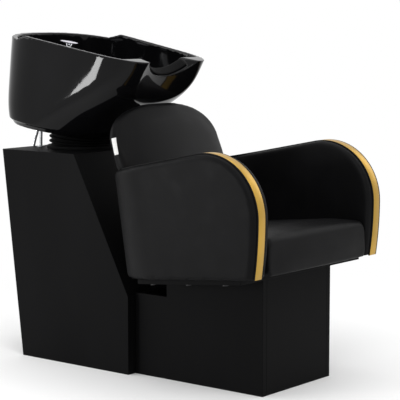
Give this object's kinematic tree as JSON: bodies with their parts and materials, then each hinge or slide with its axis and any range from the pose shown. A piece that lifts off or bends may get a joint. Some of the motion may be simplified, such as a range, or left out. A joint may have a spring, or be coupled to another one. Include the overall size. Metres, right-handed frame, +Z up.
{
  "type": "salon backwash unit",
  "caption": "Salon backwash unit: upholstered tub chair on a box base joined to a sloped cabinet that carries a tilting wash basin with neck rest, mixer and hand shower.",
  "frame": {"origin": "on the floor under the middle of the unit's bounding box", "axes": "+X across the unit, +Y from the chair to the basin, +Z up"},
  "size_m": [0.636, 1.1094, 1.0133],
  "materials": {
    "laminate": "matt black laminate",
    "plywood": "bare plywood",
    "steel": "zinc plated",
    "black_steel": "blackened",
    "rubber": "matt black",
    "plastic": "grey waste fittings",
    "leather": "black leatherette, soft sheen",
    "gold": "satin gold",
    "glaze": "opaque black ceramic glaze",
    "chrome": "polished",
    "white": "white"
  },
  "bodies": {
    "frame": {"cabinet_side_left": "laminate", "cabinet_side_right": "laminate", "cabinet_floor": "laminate", "cabinet_rear": "laminate", "cabinet_top": "laminate", "cabinet_slant": "laminate", "cabinet_front": "laminate", "rear_cleats": "plywood", "rear_screws": "steel", "hose_grommets": "steel", "support_column": "steel", "column_bolts": "steel", "tilt_pin": "steel", "pin_clip": "steel", "tilt_washers": "rubber", "bellows": "rubber", "bellows_ring": "rubber", "plumbing_bracket": "steel", "waste_outlet": "plastic", "waste_hose": "plastic", "supply_hose_cold": "steel", "supply_hose_hot": "rubber", "supply_nuts": "steel", "base_side_left": "laminate", "base_side_right": "laminate", "base_front": "laminate", "base_rear": "laminate", "base_floor": "laminate", "join_spacers": "steel", "join_bolts": "steel", "seat_board": "laminate", "arm_bolts": "black_steel", "seat_cushion": "leather", "backrest_cushion": "leather", "backrest_tag": "white", "arm_left": "leather", "arm_right": "leather", "arm_trim_left": "gold", "arm_trim_right": "gold"},
    "basin_unit": {"basin": "glaze", "basin_bracket": "steel", "bracket_bolts": "steel", "neck_rest": "rubber", "waste_flange": "chrome", "waste_gasket": "rubber", "waste_nut": "plastic", "mixer_body": "chrome", "mixer_nut": "steel", "shower_holder": "chrome", "shower_hose": "chrome", "mixer_outlet": "chrome"},
    "mixer_cap": {"mixer_dome": "chrome"},
    "mixer_handle": {"mixer_lever": "chrome"},
    "shower": {"hand_shower": "chrome", "spray_face": "white", "shower_tail": "chrome"}
  },
  "joints": [
    {"name": "basin_tilt", "type": "hinge", "parent": "frame", "child": "basin_unit", "pos_m": [0, 0.40237, 0.67], "axis": [-1, 0, 0], "range_deg": [0, 12], "deforming": ["bellows", "waste_hose", "supply_hose_cold", "supply_hose_hot", "shower_hose"]},
    {"name": "mixer_swivel", "type": "hinge", "parent": "basin_unit", "child": "mixer_cap", "pos_m": [-0.036, 0.47107, 0.95761], "axis": [0, -0.1822, 0.9833], "range_deg": [-50, 50]},
    {"name": "lever_lift", "type": "hinge", "parent": "mixer_cap", "child": "mixer_handle", "pos_m": [-0.036, 0.46925, 0.96744], "axis": [-1, 0, 0], "range_deg": [0, 25]},
    {"name": "shower_lift", "type": "slide", "parent": "basin_unit", "child": "shower", "axis": [0, -0.1822, 0.9833], "range_m": [0, 0.15], "deforming": ["shower_hose"]}
  ]
}
